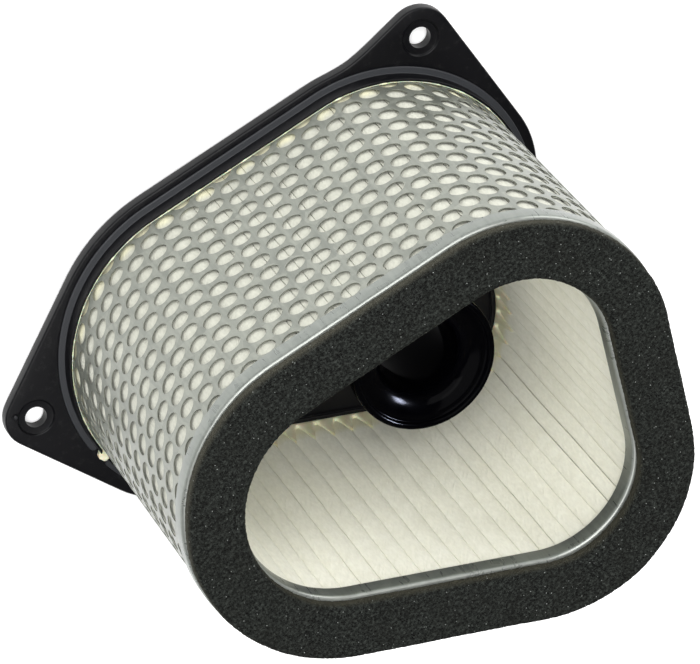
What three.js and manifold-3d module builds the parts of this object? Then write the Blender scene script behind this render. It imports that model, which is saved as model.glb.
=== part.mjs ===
// Motorcycle air filter cartridge: a pleated paper ring in a perforated steel band,
// bedded in a moulded base plate with fixing ears and an intake funnel, and closed by
// a steel end cap with a foam seal. Millimetres, +Z up, standing on its base gasket.
//
// Every closed wall follows the same rounded triangle, the "body outline", at its own
// offset: positive offsets lie outside the perforated band, negative ones inside it.

import * as THREE from 'three';
import { mergeVertices } from 'three/addons/utils/BufferGeometryUtils.js';
import Module from 'manifold-3d';

const wasm = await Module();
wasm.setup();

// ---------------------------------------------------------------- driving dimensions

const GAP = 0.3;                  // clearance between pieces that touch
const ARC_STEP = 11;              // degrees per segment on corner arcs
const SMALL_ROUND = 24;           // segments round a screw hole
const LARGE_ROUND = 48;           // segments round the funnel
const CURVE_STEPS = 6;            // segments in each curve of the funnel's profile
const OVERLAP = 1;                // how far solids run into each other where they join or cut

// Corner circles of the body outline, anticlockwise; the origin is midway between the ears.
const RIGHT_CORNER = { x: 34.6, y: -34.4, r: 44.9 };
const LEFT_CORNER = { x: -23.6, y: -26.2, r: 49.6 };
const NOSE_CORNER = { x: 17.8, y: -66.3, r: 45.2 };
const BODY_CORNERS = [RIGHT_CORNER, LEFT_CORNER, NOSE_CORNER];

// Heights
const GASKET_PROUD = 1.0;         // gasket below the plate's underside
const PLATE_THICKNESS = 4.0;
const RING_WALL_HEIGHT = 5.2;
const RING_LEDGE_HEIGHT = 1.0;     // of the low step round the foot of the ring wall
const CURB_HEIGHT = 1.8;
const CAP_TOP = 114.6;
const CAP_SHEET = 0.6;
const CAP_SKIRT = 5.7;            // how far the cap's flanges reach down
const FOAM_THICKNESS = 4.2;
const TAPE_THICKNESS = 0.4;
const POTTING_THICKNESS = 1.8;
const PLATE_BOTTOM = GASKET_PROUD;
const PLATE_TOP = PLATE_BOTTOM + PLATE_THICKNESS;
const BASE_POTTING_TOP = PLATE_TOP + GAP + POTTING_THICKNESS;
const MEDIA_BOTTOM = BASE_POTTING_TOP + GAP;
const CAP_UNDERSIDE = CAP_TOP - CAP_SHEET;
const SCREEN_TOP = CAP_UNDERSIDE - GAP;
const TOP_POTTING = [SCREEN_TOP - POTTING_THICKNESS, SCREEN_TOP];
const MEDIA_TOP = TOP_POTTING[0] - GAP;
const TAPE_BOTTOM = CAP_TOP + GAP;
const FOAM_BOTTOM = TAPE_BOTTOM + TAPE_THICKNESS + GAP;

// Offsets from the body outline
const RING_WALL = [0.4, 1.2];
const RING_LEDGE = [0.4, 3.3];
const SCREEN = [-0.8, 0];
const SEAM_STRIP = [-1.7, -1.1];
const SEAM_WIDTH = 9;
const MEDIA = [-16.0, -2.2];
const CURB = [-18.6, -17.2];
const CAP_OUTER_FLANGE = [GAP, GAP + CAP_SHEET];
const CAP_INNER_FLANGE = [-17.2, -17.2 + CAP_SHEET];
const FOAM = [-16.7, 0.6];
const TAPE = [-15.2, -1.4];
const GASKET = [-9.0, -5.0];

// Base plate
const PLATE_CORNERS = [
  { ...RIGHT_CORNER, r: RIGHT_CORNER.r + 5.0 },
  { ...LEFT_CORNER, r: LEFT_CORNER.r + 5.2 },
  { ...NOSE_CORNER, r: NOSE_CORNER.r + 7.0 },
];
const EAR_HALF_SPACING = 80;      // the two shoulder ears are 160 mm apart
const NOSE_EAR_REACH = 57.5;      // nose ear centre from the nose corner's centre
const EAR_RADIUS = 9.6;
const EAR_HOLE_RADIUS = 3.35;     // clearance for an M6 screw
const EAR_SEAT = { radius: 5.5, depth: 0.5 };
const RIGHT_EAR = { x: EAR_HALF_SPACING, y: 0 };
const LEFT_EAR = { x: -EAR_HALF_SPACING, y: 0 };
const NOSE_EAR = { x: NOSE_CORNER.x, y: NOSE_CORNER.y - NOSE_EAR_REACH };
const EARS = [RIGHT_EAR, LEFT_EAR, NOSE_EAR];
const RIGHT_FLANK = { x: 54, y: -40, r: 31.2 };   // rounds the plate below the right ear
const LEFT_FLANK = { x: -52, y: -31, r: 28.4 };   // rounds the plate below the left ear
const RIGHT_KNUCKLE = { x: 60, y: 0, r: EAR_RADIUS };
const NOTCH = { y: -24.3, width: 5.0 };           // gap in the ring wall on the left side
const NOTCH_CUT = [-0.5, 4];                      // offsets of the block that cuts the notch
const NOTCH_PLUG = [-4, 2.4];                     // and of the adhesive that fills it

// Intake funnel: a straight bore that opens into a trumpet with a rolled lip
const FUNNEL = { x: 14.1, y: -54.6 };
const BORE_RADIUS = 12.4;
const MOUTH_RADIUS = 20.2;
const LIP_RADIUS = 1.1;
const FUNNEL_TOP = 47.4;
const FUNNEL_WALL = 2.2;
const TRUMPET_HEIGHT = 4.5;       // from the end of the straight bore to the lip's centre
const LIP_SKIRT = 4.5;            // how far the lip's outside reaches down
const FUNNEL_SPIGOT_RADIUS = BORE_RADIUS + FUNNEL_WALL;
const FUNNEL_FLANGE = { radius: 23, thickness: 2.0 };

// Pleats
const PLEATS = 64;
const PAPER = 0.8;
const FOLD_OUTSIDE = 0.75;        // half width of a fold's flat on its convex side
const FOLD_INSIDE = 0.35;         // and on its concave side

// ---------------------------------------------------------------- outlines

/** Direction of the outward normal on the straight side from one corner to the next. */
function sideNormal(from, to) {
  const length = Math.hypot(to.x - from.x, to.y - from.y);
  const along = { x: (to.x - from.x) / length, y: (to.y - from.y) / length };
  const lean = (from.r - to.r) / length;
  const across = Math.sqrt(1 - lean * lean);
  return Math.atan2(along.y * lean - along.x * across, along.x * lean + along.y * across);
}

/** The arcs of a loop of circles, each with the angles where its straight sides meet it. */
function cornerArcs(corners) {
  return corners.map((corner, i) => {
    const before = corners[(i + corners.length - 1) % corners.length];
    const after = corners[(i + 1) % corners.length];
    const start = sideNormal(before, corner);
    let end = sideNormal(corner, after);
    while (end < start) end += 2 * Math.PI;
    return { ...corner, start, end };
  });
}

/** Unit vector at an angle. */
function direction(angle) {
  return new THREE.Vector2(Math.cos(angle), Math.sin(angle));
}

/** Point on a corner circle at an angle, moved outwards by an offset. */
function onCorner(corner, angle, offset = 0) {
  return direction(angle).multiplyScalar(corner.r + offset).add(new THREE.Vector2(corner.x, corner.y));
}

/** The anticlockwise loop around a set of corner circles, moved outwards by an offset. */
function outline(offset = 0, corners = BODY_CORNERS) {
  const points = [];
  for (const arc of cornerArcs(corners)) {
    const steps = Math.ceil(THREE.MathUtils.radToDeg(arc.end - arc.start) / ARC_STEP);
    for (let i = 0; i <= steps; i += 1) {
      points.push(onCorner(arc, THREE.MathUtils.lerp(arc.start, arc.end, i / steps), offset));
    }
  }
  return points;
}

/** The body outline as a run of legs: each corner's arc, then the straight side after it. */
function outlineLegs() {
  const arcs = cornerArcs(BODY_CORNERS);
  return arcs.flatMap((arc, i) => {
    const next = arcs[(i + 1) % arcs.length];
    const from = onCorner(arc, arc.end);
    const to = onCorner(next, next.start);
    const turn = (share) => THREE.MathUtils.lerp(arc.start, arc.end, share);
    return [
      {
        length: arc.r * (arc.end - arc.start),
        at: (share) => ({ point: onCorner(arc, turn(share)), normal: direction(turn(share)) }),
      },
      {
        length: from.distanceTo(to),
        at: (share) => ({ point: from.clone().lerp(to, share), normal: direction(arc.end) }),
      },
    ];
  });
}

/** Points at equal distances around the body outline, each with its outward normal. */
function walkOutline(count) {
  const legs = outlineLegs();
  const perimeter = legs.reduce((sum, leg) => sum + leg.length, 0);
  return Array.from({ length: count }, (_, i) => {
    let rest = (perimeter * i) / count;
    let leg = 0;
    while (rest > legs[leg].length) {
      rest -= legs[leg].length;
      leg += 1;
    }
    return legs[leg].at(rest / legs[leg].length);
  });
}

// ---------------------------------------------------------------- solids

/** A straight prism on a loop of points between two heights, with optional hole loops. */
function prism(loop, bottom, top, holes = []) {
  const shape = new THREE.Shape(loop);
  for (const hole of holes) shape.holes.push(new THREE.Path(hole));
  const geometry = new THREE.ExtrudeGeometry(shape, { depth: top - bottom, bevelEnabled: false });
  return geometry.translate(0, 0, bottom);
}

/** An upright wall that follows the body outline between two offsets. */
function wall([inner, outer], bottom, top) {
  return prism(outline(outer), bottom, top, [outline(inner)]);
}

/** An upright cylinder between two heights. */
function post({ x, y }, radius, bottom, top, segments = SMALL_ROUND) {
  const geometry = new THREE.CylinderGeometry(radius, radius, top - bottom, segments);
  return geometry.rotateX(Math.PI / 2).translate(x, y, (top + bottom) / 2);
}

/** A block in the ring wall's notch, between two offsets from the body's left edge. */
function notchBlock(width, [inner, outer], bottom, top) {
  const leftEdge = LEFT_CORNER.x - LEFT_CORNER.r;
  const geometry = new THREE.BoxGeometry(outer - inner, width, top - bottom);
  return geometry.translate(leftEdge - (inner + outer) / 2, NOTCH.y, (bottom + top) / 2);
}

/** Turns a closed geometry into a solid that can be joined and cut. */
function solid(geometry) {
  geometry.deleteAttribute('normal');
  geometry.deleteAttribute('uv');
  const merged = mergeVertices(geometry, 1e-4);
  return new wasm.Manifold(new wasm.Mesh({
    numProp: 3,
    vertProperties: Float32Array.from(merged.attributes.position.array),
    triVerts: Uint32Array.from(merged.index.array),
  }));
}

/** Joins one list of geometries and cuts another list out of them. */
function combine(joined, cut = []) {
  let body = solid(joined[0]);
  for (const geometry of joined.slice(1)) body = body.add(solid(geometry));
  for (const geometry of cut) body = body.subtract(solid(geometry));
  const mesh = body.getMesh();
  const result = new THREE.BufferGeometry();
  result.setAttribute('position', new THREE.BufferAttribute(mesh.vertProperties, 3));
  result.setIndex(new THREE.BufferAttribute(mesh.triVerts, 1));
  result.computeVertexNormals();
  return result;
}

// ---------------------------------------------------------------- materials

function material(color, roughness, metalness) {
  return new THREE.MeshStandardMaterial({ color, roughness, metalness });
}

const blackNylon = material(0x17181a, 0.5, 0);
const glossBlack = material(0x07070a, 0.12, 0);
const galvanised = material(0xa3a89c, 0.42, 0.8);
const filterPaper = material(0xe2dcc4, 0.95, 0);
const adhesive = material(0xd9cf9f, 0.55, 0);
const foam = material(0x2b2d2c, 1, 0);
const tape = material(0xb9b6a8, 0.7, 0);
const rubber = material(0x111214, 0.8, 0);

// ---------------------------------------------------------------- the pieces

/** Moulded plate: floor, three ears with screw seats, stepped ring wall, inner curb, groove. */
function basePlate() {
  const ringTop = PLATE_TOP + RING_WALL_HEIGHT;
  const rightLobe = [{ ...RIGHT_EAR, r: EAR_RADIUS }, RIGHT_KNUCKLE, RIGHT_FLANK];
  const leftLobe = [PLATE_CORNERS[1], { ...LEFT_EAR, r: EAR_RADIUS }, LEFT_FLANK];
  const noseLobe = [PLATE_CORNERS[2], { ...NOSE_EAR, r: EAR_RADIUS }];
  const lobes = [PLATE_CORNERS, rightLobe, leftLobe, noseLobe];
  const joined = lobes.map((corners) => prism(outline(0, corners), PLATE_BOTTOM, PLATE_TOP));
  joined.push(wall(RING_WALL, PLATE_TOP - OVERLAP, ringTop));
  joined.push(wall(RING_LEDGE, PLATE_TOP - OVERLAP, PLATE_TOP + RING_LEDGE_HEIGHT));
  joined.push(wall(CURB, PLATE_TOP - OVERLAP, PLATE_TOP + CURB_HEIGHT));

  const below = PLATE_BOTTOM - OVERLAP;
  const above = PLATE_TOP + OVERLAP;
  const cut = [post(FUNNEL, FUNNEL_SPIGOT_RADIUS + GAP, below, above, LARGE_ROUND)];
  for (const ear of EARS) {
    cut.push(post(ear, EAR_HOLE_RADIUS, below, above));
    cut.push(post(ear, EAR_SEAT.radius, PLATE_TOP - EAR_SEAT.depth, above));
  }
  const grooveWall = [GASKET[0] - GAP, GASKET[1] + GAP];
  cut.push(wall(grooveWall, below, PLATE_BOTTOM + GASKET_PROUD + GAP));
  cut.push(notchBlock(NOTCH.width, NOTCH_CUT, PLATE_TOP, ringTop + OVERLAP));
  return combine(joined, cut);
}

/** Profile points on an ellipse about a centre, from one angle to another. */
function ellipseArc([radius, height], [across, up], from, to) {
  return Array.from({ length: CURVE_STEPS + 1 }, (_, i) => {
    const angle = THREE.MathUtils.lerp(from, to, i / CURVE_STEPS);
    return [radius + across * Math.cos(angle), height + up * Math.sin(angle)];
  });
}

/** Bell-mouthed tube: spigot through the floor, flange on it, trumpet and rolled lip. */
function intakeFunnel() {
  const flangeBottom = PLATE_TOP + GAP;
  const flangeTop = flangeBottom + FUNNEL_FLANGE.thickness;
  const lipHeight = FUNNEL_TOP - LIP_RADIUS;
  const trumpetBottom = lipHeight - TRUMPET_HEIGHT;
  const flare = MOUTH_RADIUS - BORE_RADIUS;
  const lipOutside = MOUTH_RADIUS + 2 * LIP_RADIUS;
  const skirtBottom = lipHeight - LIP_SKIRT;
  const lipCentre = [MOUTH_RADIUS + LIP_RADIUS, lipHeight];
  const trumpet = ellipseArc([MOUTH_RADIUS, trumpetBottom], [flare, TRUMPET_HEIGHT], Math.PI, Math.PI / 2);
  const lip = ellipseArc(lipCentre, [LIP_RADIUS, LIP_RADIUS], Math.PI, 0);
  const profile = [
    [BORE_RADIUS, PLATE_BOTTOM],
    ...trumpet,
    ...lip.slice(1),
    [lipOutside, skirtBottom],
    [lipOutside - FUNNEL_WALL, skirtBottom],
    [FUNNEL_SPIGOT_RADIUS, trumpetBottom],
    [FUNNEL_SPIGOT_RADIUS, flangeTop],
    [FUNNEL_FLANGE.radius, flangeTop],
    [FUNNEL_FLANGE.radius, flangeBottom],
    [FUNNEL_SPIGOT_RADIUS, flangeBottom],
    [FUNNEL_SPIGOT_RADIUS, PLATE_BOTTOM],
    [BORE_RADIUS, PLATE_BOTTOM],
  ];
  const points = profile.map(([radius, height]) => new THREE.Vector2(radius, height)).reverse();
  const geometry = new THREE.LatheGeometry(points, LARGE_ROUND);
  return geometry.rotateX(Math.PI / 2).translate(FUNNEL.x, FUNNEL.y, 0);
}

/** Rubber ring in the groove under the plate, standing proud of it. */
function baseGasket() {
  return wall(GASKET, 0, PLATE_BOTTOM + GASKET_PROUD);
}

/** Adhesive in the channel between ring wall and curb, squeezed out through the notch. */
function basePotting() {
  const bottom = PLATE_TOP + GAP;
  return combine([
    wall([CURB[1] + GAP, RING_WALL[0] - GAP], bottom, BASE_POTTING_TOP),
    notchBlock(NOTCH.width - 2 * GAP, NOTCH_PLUG, bottom, BASE_POTTING_TOP),
  ]);
}

/** Adhesive in the end cap's channel. */
function topPotting() {
  return wall([CAP_INNER_FLANGE[1] + GAP, SCREEN[0] - GAP], ...TOP_POTTING);
}

/** Endless zigzag sheet of filter paper, folded between the inner and the outer offset. */
function pleatedMedia() {
  const stations = walkOutline(PLEATS * 2);
  const face = (isOuterFace) => stations.flatMap(({ point, normal }, i) => {
    const isOuterFold = i % 2 === 0;
    const sheetOutside = isOuterFold ? MEDIA[1] : MEDIA[0] + PAPER;
    const offset = isOuterFace ? sheetOutside : sheetOutside - PAPER;
    const along = new THREE.Vector2(-normal.y, normal.x);
    const fold = point.clone().addScaledVector(normal, offset);
    const half = isOuterFold === isOuterFace ? FOLD_OUTSIDE : FOLD_INSIDE;
    return [-half, half].map((step) => fold.clone().addScaledVector(along, step));
  });
  return prism(face(true), MEDIA_BOTTOM, MEDIA_TOP, [face(false)]);
}

/** Bonded strip over the joint in the pleated sheet, just inside the band at the notch. */
function mediaSeamStrip() {
  const reach = SEAM_WIDTH / 2 / LEFT_CORNER.r;
  const steps = 4;
  const arc = (offset, sign) => Array.from({ length: steps + 1 }, (_, i) => (
    onCorner(LEFT_CORNER, Math.PI + sign * reach * ((2 * i) / steps - 1), offset)
  ));
  return prism([...arc(SEAM_STRIP[1], 1), ...arc(SEAM_STRIP[0], -1)], MEDIA_BOTTOM, MEDIA_TOP);
}

/** Steel band around the pleats, from the adhesive bed up into the end cap. */
function outerScreen() {
  return wall(SCREEN, MEDIA_BOTTOM, SCREEN_TOP);
}

/** Steel channel pressed over the top edge: outer flange, flat annulus, inner flange. */
function endCap() {
  const skirtBottom = CAP_TOP - CAP_SKIRT;
  return combine([
    wall([CAP_INNER_FLANGE[0], CAP_OUTER_FLANGE[1]], CAP_UNDERSIDE, CAP_TOP),
    wall(CAP_OUTER_FLANGE, skirtBottom, CAP_TOP),
    wall(CAP_INNER_FLANGE, skirtBottom, CAP_TOP),
  ]);
}

/** Double-sided tape that holds the foam on the cap. */
function foamTape() {
  return wall(TAPE, TAPE_BOTTOM, TAPE_BOTTOM + TAPE_THICKNESS);
}

/** Foam ring that seals against the airbox lid. */
function foamSeal() {
  return wall(FOAM, FOAM_BOTTOM, FOAM_BOTTOM + FOAM_THICKNESS);
}

// ---------------------------------------------------------------- assembly

const pieces = [
  ['base_plate', basePlate(), blackNylon],
  ['intake_funnel', intakeFunnel(), glossBlack],
  ['base_gasket', baseGasket(), rubber],
  ['base_potting', basePotting(), adhesive],
  ['pleated_media', pleatedMedia(), filterPaper],
  ['media_seam_strip', mediaSeamStrip(), adhesive],
  ['outer_screen', outerScreen(), galvanised],
  ['top_potting', topPotting(), adhesive],
  ['end_cap', endCap(), galvanised],
  ['foam_tape', foamTape(), tape],
  ['foam_seal', foamSeal(), foam],
];

const assembly = new THREE.Group();
for (const [name, geometry, look] of pieces) {
  const mesh = new THREE.Mesh(geometry, look);
  mesh.name = name;
  assembly.add(mesh);
}

// The finished filter stands centred on the origin.
const bounds = new THREE.Box3().setFromObject(assembly);
const centre = bounds.getCenter(new THREE.Vector3());
assembly.position.set(-centre.x, -centre.y, -bounds.min.z);

export default assembly;
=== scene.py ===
"""Visual model of the motorcycle air filter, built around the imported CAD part.

Lengths are millimetres until a mesh is made, which is in metres. Every closed wall follows the same
rounded triangle, the body outline, at its own offset: positive offsets lie outside the perforated
band and negative ones inside it. Heights come from the CAD nodes.
"""
import math
from collections import namedtuple

import bmesh
import bpy
import numpy as np
from mathutils import Matrix, Vector, noise


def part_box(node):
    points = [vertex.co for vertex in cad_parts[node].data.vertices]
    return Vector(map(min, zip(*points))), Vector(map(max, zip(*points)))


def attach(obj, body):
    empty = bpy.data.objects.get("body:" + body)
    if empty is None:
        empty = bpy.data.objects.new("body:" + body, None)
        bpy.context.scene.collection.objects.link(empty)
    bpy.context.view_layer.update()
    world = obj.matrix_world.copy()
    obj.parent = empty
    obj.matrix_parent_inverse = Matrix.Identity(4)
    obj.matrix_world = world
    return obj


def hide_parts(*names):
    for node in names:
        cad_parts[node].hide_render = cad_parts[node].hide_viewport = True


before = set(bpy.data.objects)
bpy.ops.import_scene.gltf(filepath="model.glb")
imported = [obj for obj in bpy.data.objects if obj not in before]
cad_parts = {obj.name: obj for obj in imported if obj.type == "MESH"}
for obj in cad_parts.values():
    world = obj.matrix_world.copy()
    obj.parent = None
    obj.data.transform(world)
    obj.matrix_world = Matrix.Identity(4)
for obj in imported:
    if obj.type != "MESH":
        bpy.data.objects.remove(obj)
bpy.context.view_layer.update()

MM = 0.001

Circle = namedtuple("Circle", "x y r")
Arc = namedtuple("Arc", "x y r start end")


def heights(node):
    """Lowest and highest point of a CAD node, in mm."""
    low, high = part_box(node)
    return low.z / MM, high.z / MM


# ---------------------------------------------------------------- driving dimensions

GAP = 0.3                        # clearance between CAD nodes
GASKET_BOTTOM, GASKET_TOP = heights("base_gasket")
PLATE_BOTTOM, RING_TOP = heights("base_plate")
BED_BOTTOM, BED_TOP = heights("base_potting")
MEDIA_BOTTOM, MEDIA_TOP = heights("pleated_media")
TOP_GLUE = heights("top_potting")
CAP_BOTTOM, CAP_TOP = heights("end_cap")
TAPE_BOTTOM, TAPE_TOP = heights("foam_tape")
FOAM_BOTTOM, FOAM_TOP = heights("foam_seal")
FUNNEL_TOP = heights("intake_funnel")[1]
PLATE_TOP = BED_BOTTOM - GAP

# Corner circles of the body outline, anticlockwise
RIGHT_CORNER = Circle(34.6, 18.0, 44.9)
LEFT_CORNER = Circle(-23.6, 26.2, 49.6)
NOSE_CORNER = Circle(17.8, -13.9, 45.2)
BODY = [RIGHT_CORNER, LEFT_CORNER, NOSE_CORNER]

# Offsets from the body outline
RING_WALL = (0.4, 1.2)
RING_LEDGE = (0.4, 3.3)
CURB = (-18.6, -17.2)
MEDIA = (-16.0, -0.8)
MEDIA_MIDDLE = sum(MEDIA) / 2
CAP = (-17.2, 0.9)
CAP_SHEET = 0.6
FOAM = (-16.7, 0.6)
TAPE = (-15.2, -1.4)
GASKET = (-9.0, -5.0)
SEAM_STRIP = (-0.75, -0.4)
SEAM_WIDTH = 9.0

# Base plate
PLATE = [Circle(RIGHT_CORNER.x, RIGHT_CORNER.y, RIGHT_CORNER.r + 5.0),
         Circle(LEFT_CORNER.x, LEFT_CORNER.y, LEFT_CORNER.r + 5.2),
         Circle(NOSE_CORNER.x, NOSE_CORNER.y, NOSE_CORNER.r + 7.0)]
EAR_RADIUS = 9.6
RIGHT_EAR = Circle(80.0, 52.4, EAR_RADIUS)
LEFT_EAR = Circle(-80.0, 52.4, EAR_RADIUS)
NOSE_EAR = Circle(17.8, -71.4, EAR_RADIUS)
EARS = [RIGHT_EAR, LEFT_EAR, NOSE_EAR]
PLATE_LOBES = [
    PLATE,
    [RIGHT_EAR, Circle(60.0, 52.4, EAR_RADIUS), Circle(54.0, 12.4, 31.2)],
    [PLATE[1], LEFT_EAR, Circle(-52.0, 21.4, 28.4)],
    [PLATE[2], NOSE_EAR],
]
PLATE_MIDDLE = (6.0, 12.0)
CURB_HEIGHT = 1.8
RING_LEDGE_HEIGHT = 1.0
ROOTED = 0.6                     # how far a wall joined to the plate reaches into it
CUT_PAST = 1.0                   # how far a cutter reaches past the face it opens
EDGE_INSET = 3.0                 # how far the plate's edge section reaches inwards
HOLE_RADIUS = 3.35
SEAT_RADIUS = 5.5
SEAT_DEPTH = 0.5
PIP = Circle(-84.0, 57.6, 0.9)   # small moulded pip on the left ear
NOTCH_Y = 28.1                   # the ring wall's notch, on the left side
NOTCH_WIDTH = 5.0

# Intake funnel
FUNNEL = Circle(14.1, -2.2, 12.4)
MOUTH_RADIUS = 20.2
LIP_RADIUS = 1.1
FUNNEL_WALL = 2.2
TRUMPET_HEIGHT = 4.5
LIP_SKIRT = 4.5
FLANGE_RADIUS = 23.0
FLANGE_THICKNESS = 2.0

# Perforations: round holes in a 60 degree pattern, in lines along the filter's axis
HOLE_PITCH = 8.23
LINE_SPACING = HOLE_PITCH * math.sqrt(3) / 2
PERFORATION_RADIUS = 3.15
HOLE_LINES = 61
HOLES_IN_LINE = 13
FIRST_LINE = -68.0               # distance of the first line along the outline
LOWEST_HOLE = 9.57
BAND_SHEET = 0.3
CELL_SEGMENTS = 6                # mesh segments on each side of a hole's cell
SEAM_COLUMNS = 12
LAP_START = 0.52                 # share of the seam's width where the lap begins
LAP_SLOPE = 0.3                  # share of the width in which the lap returns to the outline
LAP_DEPTH = 0.55

# Pleats
PLEATS = 64
PLEAT_START = 0.5                # the first inner fold's place, in pleat pitches
PAPER = 0.3
INNER_FOLD = 0.476               # half width of a fold seen from inside, in pleat pitches
FOLD_NECK = 0.025                # half width of the same fold where it ends, outside
FOLD_SHOULDER = 0.55             # how far a fold rounds back before its sheet turns outwards
WIDE_GAPS = {48: 0.02, 53: 0.035, 54: 0.015, 58: 0.02}   # folds that stand apart, and by how much
PAPER_ROWS = 20                  # mesh rows up the height of the paper
EMBEDDED = 0.8                   # how far the paper's edges sink into the adhesive
SWAY = 0.5                       # how far a fold wanders along the outline
BULGE = 0.18                     # how far a fold wanders across it

# Adhesive
BED_POINTS = 12                  # mesh points in each pleat pitch
CLIMB = 8.5                      # height of the points that climb between inner folds
CLIMB_WANDER = 3.0
LUMP_SIZE = (1.9, 2.0, 2.1)      # half sizes of the lump in the notch
LUMP_RISE = 1.6
BEAD_STEP = 0.9
BEAD_RADIUS = (0.1, 0.42)        # radius of the bead where it is thin, and how much it can swell
BEAD_OFFSET = 0.2

# Foam surface
FOAM_CELL = 1.3
CELL_WALL_DEPTH = 0.14
FOAM_SWELL = 0.2
FOAM_GRAIN = 0.08
FOAM_STEP = 0.6

# Creped paper: the wrinkles slant across the folds
CREPE_DIRECTION = Vector((0.30, -0.29, -0.91))
CREPE_LEAN = CREPE_DIRECTION.rotation_difference(Vector((0, 0, 1))).to_euler("XYZ")


# ---------------------------------------------------------------- outlines

def unit(angle):
    """Unit vectors at an angle or an array of angles."""
    return np.stack([np.cos(angle), np.sin(angle)], axis=-1)


def side_normal(a, b):
    """Angle of the outward normal on the straight side from circle a to circle b."""
    length = math.hypot(b.x - a.x, b.y - a.y)
    along_x, along_y = (b.x - a.x) / length, (b.y - a.y) / length
    lean = (a.r - b.r) / length
    across = math.sqrt(1 - lean * lean)
    return math.atan2(along_y * lean - along_x * across, along_x * lean + along_y * across)


def corner_arcs(circles):
    """The arcs of a loop of circles, each with the angles where its straight sides meet it."""
    arcs = []
    for i, circle in enumerate(circles):
        start = side_normal(circles[i - 1], circle)
        end = side_normal(circle, circles[(i + 1) % len(circles)])
        while end < start:
            end += 2 * math.pi
        arcs.append(Arc(*circle, start, end))
    return arcs


def legs(circles, spaced_at):
    """Each arc and each straight side of a loop: (length, function of share -> points, angles)."""
    arcs = corner_arcs(circles)
    found = []
    for arc, after in zip(arcs, arcs[1:] + arcs[:1]):
        centre = np.array([arc.x, arc.y])
        side_start = centre + arc.r * unit(arc.end)
        side_end = np.array([after.x, after.y]) + after.r * unit(after.start)

        def on_arc(share, arc=arc, centre=centre):
            angles = arc.start + share * (arc.end - arc.start)
            return centre + arc.r * unit(angles), angles

        def on_side(share, arc=arc, start=side_start, end=side_end):
            return start + share[:, None] * (end - start), np.full(len(share), arc.end)

        found.append(((arc.r + spaced_at) * (arc.end - arc.start), on_arc))
        found.append((np.linalg.norm(side_end - side_start), on_side))
    return found


def perimeter(spaced_at=0.0, circles=BODY):
    return sum(length for length, _ in legs(circles, spaced_at))


def walk(distances, spaced_at=0.0, circles=BODY):
    """Points and outward normals of an outline at distances measured along its copy at an offset."""
    rest = np.asarray(distances, float) % perimeter(spaced_at, circles)
    points = np.zeros((len(rest), 2))
    angles = np.zeros(len(rest))
    begin = 0.0
    for length, place in legs(circles, spaced_at):
        here = (rest >= begin) & (rest <= begin + length)
        points[here], angles[here] = place((rest[here] - begin) / length)
        begin += length
    return points, unit(angles)


def distance_near(x, y):
    """Distance along the body outline of its point nearest to a place."""
    distances = np.arange(0, perimeter(), 0.1)
    points, _ = walk(distances)
    return distances[np.argmin(np.hypot(points[:, 0] - x, points[:, 1] - y))]


def rounded(corners, closed=True, steps=5):
    """A path of (x, y, radius) corners with each corner turned into an arc of its radius."""
    path = []
    last = len(corners) - 1
    for i, (x, y, radius) in enumerate(corners):
        corner = np.array([x, y])
        if radius == 0 or (not closed and i in (0, last)):
            path.append(corner)
            continue
        before = np.array(corners[i - 1][:2]) - corner
        after = np.array(corners[(i + 1) % len(corners)][:2]) - corner
        before /= np.linalg.norm(before)
        after /= np.linalg.norm(after)
        half = math.acos(np.clip(before @ after, -1, 1)) / 2
        bisector = (before + after) / np.linalg.norm(before + after)
        centre = corner + bisector * radius / math.sin(half)
        first = corner + before * radius / math.tan(half) - centre
        second = corner + after * radius / math.tan(half) - centre
        turn = math.pi - 2 * half
        for share in np.linspace(0, 1, steps + 1):
            weights = math.sin((1 - share) * turn), math.sin(share * turn)
            path.append(centre + (weights[0] * first + weights[1] * second) / math.sin(turn))
    return np.array(path)


def box_section(offsets, bottom, top, radius):
    """A rectangular section with rounded corners."""
    inner, outer = offsets
    return rounded([(inner, bottom, radius), (outer, bottom, radius), (outer, top, radius),
                    (inner, top, radius)])


def evenly(path, step, closed=True):
    """The same path with points at equal distances."""
    path = np.vstack([path, path[:1]]) if closed else np.asarray(path)
    lengths = np.linalg.norm(np.diff(path, axis=0), axis=1)
    along = np.concatenate([[0], np.cumsum(lengths)])
    count = round(along[-1] / step)
    wanted = np.linspace(0, along[-1], count, endpoint=not closed)
    return np.stack([np.interp(wanted, along, path[:, k]) for k in range(2)], axis=1)


# ---------------------------------------------------------------- meshes

def new_object(name, vertices, faces):
    """A mesh object from vertices in mm."""
    mesh = bpy.data.meshes.new(name)
    mesh.from_pydata((np.asarray(vertices).reshape(-1, 3) * MM).tolist(), [], faces)
    obj = bpy.data.objects.new(name, mesh)
    bpy.context.scene.collection.objects.link(obj)
    return obj


def grid_faces(rows, columns, around, across):
    """Quads of a grid of vertices that closes on itself, or doesn't, in each direction."""
    index = np.arange(rows * columns).reshape(rows, columns)
    right = np.roll(index, -1, axis=1)
    below = np.roll(index, -1, axis=0)
    corner = np.roll(right, -1, axis=0)
    quads = np.stack([index, below, corner, right], axis=-1)
    quads = quads[: rows if around else rows - 1, : columns if across else columns - 1]
    return quads.reshape(-1, 4).tolist()


def grid_object(name, grid, around=True, across=True, capped=False):
    """A mesh object from a grid of points in mm, with flat ends if it is a capped tube."""
    rows, columns = grid.shape[:2]
    faces = grid_faces(rows, columns, around, across)
    if capped:
        faces.append(list(range(columns)))
        faces.append(list(range((rows - 1) * columns, rows * columns)))
    return new_object(name, grid, faces)


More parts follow.
